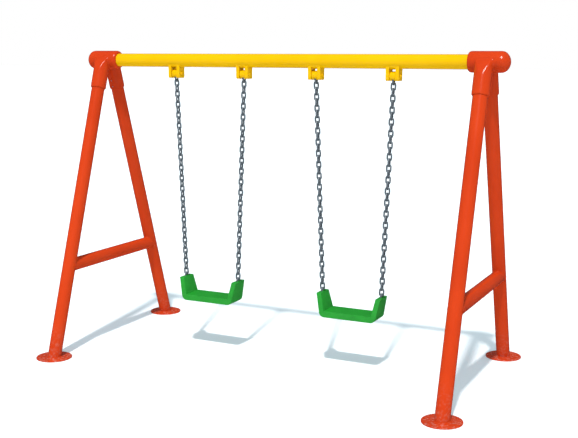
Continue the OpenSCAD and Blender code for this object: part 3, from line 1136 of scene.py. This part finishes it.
@dataclass
class BucketSeat:
    """A moulded seat: a thick pan with a wing at each end, hung on two pins."""

    x: float
    low: Vector
    high: Vector
    pin_z: float
    pin_x: float = 262 * MM
    pan: float = 53 * MM
    wing_depth: float = 160 * MM
    wing_in: float = 20 * MM
    outer_lean: float = 11.8
    inner_lean: float = 13.3
    corner: float = 44 * MM
    inner_corner: float = 14 * MM
    edge: float = 5 * MM
    slot: float = 19.4 * MM
    swing: float = 27.75 * MM
    tilt: float = 20
    pin_r: float = 5 * MM
    pin_inset: float = 3 * MM
    fit: float = 0.05 * MM

    def body(self) -> bpy.types.Object:
        """The pan and its wings drawn up from one box, before the slots are cut."""
        floor_z, top_z = self.low.z, self.high.z
        pan_z = floor_z + self.pan
        top_out = (self.high.x - self.low.x) / 2
        half_y = (self.high.y - self.low.y) / 2
        outer = math.tan(math.radians(self.outer_lean))
        inner = math.tan(math.radians(self.inner_lean))
        low_out = top_out - (top_z - floor_z) * outer
        pan_out = top_out - (top_z - pan_z) * outer
        top_in = self.pin_x - self.wing_in
        pan_in = top_in - (top_z - pan_z) * inner
        made = block(Vector((-low_out, -half_y, floor_z)), Vector((low_out, half_y, pan_z)))
        for side in SIDES:
            with editing(made, Pick.POINTS, lambda p, s=side: p.z > pan_z - NEAR and p.x * s > 0):
                bpy.ops.transform.translate(value=(side * (pan_out - low_out), 0, 0))
            with editing(made, Pick.FACES):
                bpy.ops.mesh.bisect(plane_co=(side * pan_in, 0, 0), plane_no=(1, 0, 0))
        for side in SIDES:
            with editing(
                made, Pick.FACES,
                lambda p, s=side: p.z > pan_z - NEAR and p.x * s > pan_in - NEAR,
            ):
                bpy.ops.mesh.extrude_region_move(
                    TRANSFORM_OT_translate={"value": (0, 0, top_z - pan_z)}
                )
                middle = side * (pan_in + pan_out) / 2
                bpy.ops.transform.resize(
                    value=(
                        (top_out - top_in) / (pan_out - pan_in),
                        self.wing_depth / (2 * half_y),
                        1,
                    ),
                    center_override=(middle, 0, top_z),
                )
                bpy.ops.transform.translate(
                    value=(side * (top_in + top_out) / 2 - middle, 0, 0)
                )
        turn = math.radians(90 - self.outer_lean)
        self.round_corner(made, floor_z, low_out, self.corner * math.tan(turn / 2), 14)
        turn = math.radians(90 - self.inner_lean)
        self.round_corner(made, pan_z, pan_in, self.inner_corner * math.tan(turn / 2), 8)
        return soften(made, self.edge, 4, 30)

    @staticmethod
    def round_corner(
        seat: bpy.types.Object, height: float, reach: float, offset: float, steps: int
    ) -> None:
        """Rounds the two edges that run front to back at one height and reach."""
        with editing(
            seat, Pick.EDGES,
            lambda p: abs(p.z - height) < NEAR and abs(abs(p.x) - reach) < NEAR,
        ):
            bpy.ops.mesh.bevel(offset=offset, segments=steps, affect="EDGES")

    def slot_cutter(self) -> bpy.types.Object:
        """The room that a chain's last link needs in a wing at every tilt, round the pin's axis."""
        tilt = math.radians(self.tilt)
        low, top = -self.swing * math.sin(tilt), self.high.z - self.pin_z + CUT
        half = self.swing * math.cos(tilt)
        top_half = self.swing / math.cos(tilt) + top * math.tan(tilt)
        wedge = block(Vector((-self.slot / 2, -half, low)), Vector((self.slot / 2, half, top)))
        with editing(wedge, Pick.POINTS, lambda p: p.z > top - NEAR):
            bpy.ops.transform.resize(value=(1, top_half / half, 1), center_override=(0, 0, top))
        round_end = rod(self.swing, -self.slot / 2, self.slot / 2, 72)
        return combine(wedge, settle(round_end, along_x(0, 0, 0)), Blend.FUSE)

    def seat(self) -> bpy.types.Object:
        """The finished seat, slotted for the chains and bored for the pins."""
        made = self.body()
        top_out = (self.high.x - self.low.x) / 2
        for side in SIDES:
            cutter = settle(self.slot_cutter(), at(side * self.pin_x, 0, self.pin_z))
            combine(made, cutter, Blend.CUT)
            start = self.pin_x - self.wing_in + self.pin_inset
            bore = rod(self.pin_r + self.fit, start, top_out + CUT, 40)
            combine(made, settle(bore, along_x(0, 0, self.pin_z, side)), Blend.CUT)
        soften(made, 1 * MM, 2, 50)
        return settle(made, at(self.x, 0, 0))

    def pins(self) -> bpy.types.Object:
        """The two pins that the chains' last links hang the seat on."""
        low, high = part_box(f"{SIDE_NAMES[1 if self.x > 0 else -1]}_seat_pins")
        start, end = self.pin_x - self.wing_in + self.pin_inset + CUT, (high.x - low.x) / 2
        pins = [
            settle(chamfered_pin(self.pin_r, start, end), along_x(self.x, 0, self.pin_z, side))
            for side in SIDES
        ]
        return gather(pins)


@dataclass
class Swing:
    """One swing: two hangers with their pivots, two chains and a seat."""

    layout: Layout
    side: int

    def name(self, part: str) -> str:
        """The CAD name of a part of this swing."""
        return f"{SIDE_NAMES[self.side]}_{part}"

    def end_name(self, end: int, part: str) -> str:
        """The CAD name of a part at one end of this swing, outer or inner."""
        return self.name(f"{'outer' if end == self.side else 'inner'}_{part}")

    def pivot(self, end: int) -> Pivot:
        """Reads one hanger's place from its CAD box and the swing's joint."""
        low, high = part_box(self.end_name(end, "hanger"))
        joint = next(j for j in frame["joints"] if j["name"] == self.name("swing_pivot"))
        return Pivot(
            self.layout, (low.x + high.x) / 2, joint["pos_m"][2], high.x - low.x,
            high.y - low.y, low.z,
        )

    def build(self, shop: Workshop) -> None:
        """Builds and delivers every piece of this swing."""
        swing = self.name("swing")
        pivots = {end: self.pivot(end) for end in SIDES}
        for end, pivot in pivots.items():
            shop.deliver(pivot.hanger(), self.end_name(end, "hanger"), "frame", "yellow_paint")
            block_name = self.end_name(end, "pivot_block")
            shop.deliver(pivot.pivot_block(), block_name, swing, "yellow_paint")
        both = pivots.values()
        bearings = gather([b for pivot in both for b in pivot.bearings()])
        shop.deliver(bearings, self.name("pivot_bearings"), "frame", "bearing_steel")
        screws = gather([s for pivot in both for s in pivot.shoulder_screws()])
        shop.deliver(screws, self.name("shoulder_screws"), swing, "yellow_paint")
        rings = gather([r for pivot in both for r in pivot.spacer_rings()])
        shop.deliver(rings, self.name("spacer_rings"), swing, "zinc_steel")
        pins = gather([pivot.link_pin() for pivot in both])
        shop.deliver(pins, self.name("link_pins"), swing, "zinc_steel")

        joint = next(j for j in frame["joints"] if j["name"] == self.name("seat_tilt"))
        seat = BucketSeat(joint["pos_m"][0], *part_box(self.name("seat")), joint["pos_m"][2])
        seat_body = joint["child"]
        shop.deliver(seat.seat(), self.name("seat"), seat_body, "green_plastic")
        shop.deliver(seat.pins(), self.name("seat_pins"), seat_body, "zinc_steel")
        for end, pivot in pivots.items():
            chain = Chain(
                Vector((pivot.x, 0, pivot.pivot_z - pivot.pin_drop)),
                Vector((seat.x + end * seat.pin_x, 0, seat.pin_z)),
            )
            shop.deliver(chain.build(), self.end_name(end, "chain"), swing, "chain_steel")


# --- The studio ------------------------------------------------------------------------------


@dataclass(frozen=True)
class Studio:
    """A plain pale floor, one soft sun, an even sky and the camera."""

    floor_half: float = 150
    sun_strength: float = 3.0
    sun_way: Colour = (-0.15, 0.58, -1.0)
    sun_angle: float = 3.0
    glow_strength: float = 3.4
    glow_angle: float = 26.0
    glow_way: Colour = (-0.177, 0.618, -0.766)
    sky: Colour = (0.60, 0.745, 0.82)
    sky_gloss: Colour = (0.035, 0.040, 0.045)
    camera_at: Colour = (3.7479, -7.4917, 2.5974)
    camera_turn: Colour = (80.6206, 0.1133, 26.0246)
    lens: float = 62.293

    def floor(self) -> None:
        """A wide floor, which isn't part of the object."""
        bpy.ops.object.select_all(action="DESELECT")
        bpy.ops.mesh.primitive_plane_add(size=2 * self.floor_half)
        floor = bpy.context.object
        floor.name = "studio_floor"
        floor.visible_glossy = False
        floor.data.materials.append(PlainGround("studio_floor", (0.9, 0.9, 0.9)).material())

    def lights(self) -> None:
        """The sun, and a sky that is white to look at and softer as a light."""
        bpy.ops.object.select_all(action="DESELECT")
        bpy.ops.object.light_add(type="SUN", location=(0, 0, 6))
        sun = bpy.context.object
        sun.name = "studio_sun"
        sun.rotation_euler = Vector(self.sun_way).to_track_quat("-Z", "Y").to_euler()
        sun.data.energy = self.sun_strength
        sun.data.angle = math.radians(self.sun_angle)
        bpy.ops.object.duplicate()
        sun.visible_glossy = False
        glow = bpy.context.object
        glow.name = "studio_glow"
        glow.rotation_euler = Vector(self.glow_way).to_track_quat("-Z", "Y").to_euler()
        glow.data.angle = math.radians(self.glow_angle)
        glow.data.energy = self.glow_strength
        glow.visible_diffuse = False
        world = bpy.data.worlds.new("studio_sky")
        world.use_nodes = True
        bpy.context.scene.world = world
        tree = world.node_tree
        rays = tree.nodes.new("ShaderNodeLightPath")
        colour = None
        for ray, other in (("Is Glossy Ray", self.sky_gloss), ("Is Camera Ray", (1, 1, 1))):
            mix = tree.nodes.new("ShaderNodeMix")
            mix.data_type = "RGBA"
            tree.links.new(rays.outputs[ray], mix.inputs[0])
            if colour is None:
                mix.inputs[6].default_value = (*self.sky, 1)
            else:
                tree.links.new(colour, mix.inputs[6])
            mix.inputs[7].default_value = (*other, 1)
            colour = mix.outputs[2]
        tree.links.new(colour, tree.nodes["Background"].inputs["Color"])

    def camera(self) -> None:
        """The camera, set by its tilt, roll and turn in degrees."""
        bpy.ops.object.select_all(action="DESELECT")
        bpy.ops.object.camera_add()
        camera = bpy.context.object
        tilt, roll, turn = (math.radians(a) for a in self.camera_turn)
        camera.matrix_world = (
            Matrix.Translation(self.camera_at)
            @ Matrix.Rotation(turn, 4, "Z")
            @ Matrix.Rotation(tilt, 4, "X")
            @ Matrix.Rotation(roll, 4, "Z")
        )
        camera.data.lens = self.lens
        camera.data.sensor_width = 36
        camera.data.clip_end = 1000
        bpy.context.scene.camera = camera

    def build(self) -> None:
        """Sets up the floor, the lights and the camera."""
        self.floor()
        self.lights()
        self.camera()
        bpy.context.scene.view_settings.view_transform = "Standard"


def main() -> None:
    """Builds every sub-assembly in order."""
    logging.basicConfig(level=logging.INFO, format="%(name)s: %(message)s")
    shop = Workshop(
        [
            PowderCoat("red_paint", (0.575, 0.044, 0.006), (0.525, 0.038, 0.006)),
            PowderCoat("yellow_paint", (0.80, 0.435, 0.0), (0.76, 0.40, 0.0)),
            ChainSteel("chain_steel"),
            MouldedPlastic("green_plastic", (0.012, 0.30, 0.020), (0.010, 0.26, 0.018)),
            PlatedSteel("zinc_steel", (0.55, 0.56, 0.58), 0.32, 420),
            PlatedSteel("bearing_steel", (0.60, 0.60, 0.62), 0.18, 900),
        ]
    )
    layout = Layout.read()
    PipeFrame(layout).build(shop)
    for side in SIDES:
        Corner.read(layout, side).build(shop)
    for side in SIDES:
        Swing(layout, side).build(shop)
    Studio().build()


if __name__ == "__main__":
    main()
